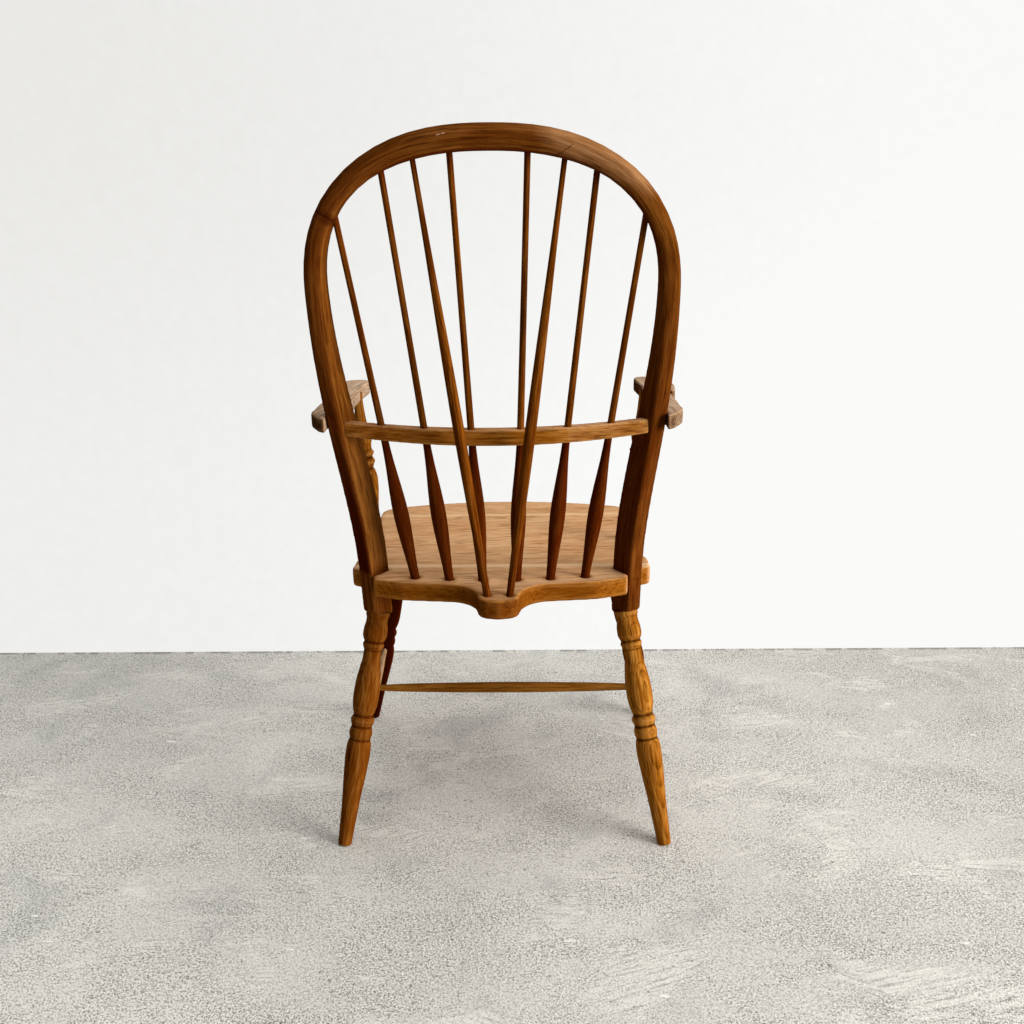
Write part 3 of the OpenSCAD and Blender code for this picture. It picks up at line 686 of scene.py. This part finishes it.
# Painted shade: darker towards the left end.
mark(rail, "dim", np.interp(leftward, (-0.08, 0.15), (0.0, 0.5)))
rail.data.materials.append(rail_wood)

# Back spindles and brace sticks.
# Six turned spindles swell below the mid rail and taper to the bow. Two straight brace sticks rise
# from the bob tail, cross behind the rail and spread to the bow. Painted shade makes the spindles
# darker and redder below the rail, deepest just under it, and the braces darker towards the seat,
# and a painted shadow of the bow darkens all eight just under it.
stick_wood = waxed_wood(
    "stick_wood", (stain(54, 22, 2), stain(98, 50, 7), stain(138, 80, 22)), stain(36, 14, 1),
    stain(156, 104, 44), stain(38, 10, 1), ring=0.0034, gloss=0.36,
)
sticks = (
    ((0.1285, 0.1282, 0.430), (0.2005, 0.2181, 0.9751), "spindle_1", "spindle_6"),
    ((0.0760, 0.1357, 0.430), (0.1365, 0.2291, 1.0270), "spindle_2", "spindle_5"),
    ((0.0255, 0.1397, 0.430), (0.0490, 0.2340, 1.0500), "spindle_3", "spindle_4"),
    ((0.0165, 0.2007, 0.430), (0.0965, 0.2322, 1.0416), "brace_stick_left", "brace_stick_right"),
)
for number, (foot, top, left_node, right_node) in enumerate(sticks):
    for side, node in ((1, left_node), (-1, right_node)):
        low = on_side(foot, side)
        high = on_side(top, side)
        piece = workpiece(node)
        lay_grain(piece, low, high, (0.02 + 0.006 * number, 0.03 * side, 6.0 + number))
        mark_turning(piece, low, high, 14, 300.0)
        height = points_of(piece)[:, 2]
        # Painted shade: under the rail for the spindles, towards the seat for the braces.
        if node.startswith("spindle"):
            dim = np.interp(height, (0.43, 0.60, 0.645, 0.648, 0.66), (1.0, 1.0, 1.25, 1.25, 0.3))
        else:
            dim = np.interp(height, (0.45, 0.75), (0.6, 0.2))
        # A painted shadow of the bow just under it.
        mark(piece, "dim", dim + np.interp(height, (top[2] - 0.045, top[2] - 0.015), (0.0, 0.7)))
        piece.data.materials.append(stick_wood)

# Arm posts.
# A turned post under each arm, of the legs' wood, with two beads under its neck and a long swell
# below them. It is glued into the seat and into the arm.
post_foot = (0.2120, -0.0523, 0.424)
post_top = (0.2280, -0.0393, 0.669)
for side, hand in ((1, "left"), (-1, "right")):
    piece = workpiece("arm_post_" + hand)
    low = on_side(post_foot, side)
    high = on_side(post_top, side)
    lay_grain(piece, low, high, (0.026, 0.018 * side, 9.0 + side))
    mark_turning(piece, low, high, 5)
    piece.data.materials.append(leg_wood)

# Arms.
# A flat board on each side, notched round the bow, with a curl at its front and a rounded lobe
# behind. The stain is rubbed off its top, so it is paler and greyer than the rest. Painted light
# makes the sides that face the sitter's right paler, and the back of the right arm; painted shade
# darkens the sides that face the sitter's left, and the right arm a little all over.
arm_wood = waxed_wood(
    "arm_wood", (stain(46, 27, 11), stain(74, 48, 26), stain(112, 80, 50)), stain(40, 22, 9),
    stain(150, 114, 80), stain(36, 19, 8),
    bare=(stain(144, 114, 88), stain(188, 158, 131), stain(216, 190, 165)),
    ring=0.0036, figure=0.9, gloss=0.48,
)
for side, hand in ((1, "left"), (-1, "right")):
    piece = workpiece("arm_" + hand)
    soften(piece, 0.0014, 16, 0.0006)
    lay_grain(piece, (0.24 * side, 0.0, 0.68), (0.04 * side, -1.0, 0.68), (0.03, 0.035 * side, 12.0))
    mark_edges(piece, 8, 1100.0)
    leftward, rearward, upward = points_of(piece, "normal").T
    # Paler top where the stain is rubbed off; paler right-facing sides and right arm's back as painted
    # light.
    bare = np.maximum((upward - 0.2) / 0.6, -leftward * 0.55)
    bare = np.maximum(bare, rearward * 0.5 * (side < 0))
    mark(piece, "bare", np.clip(bare, 0, 1))
    # Painted shade on the sides facing left, and a little on the whole right arm.
    mark(piece, "dim", np.clip(leftward, 0, 1) * 0.4 + 0.08 * (side < 0))
    piece.data.materials.append(arm_wood)
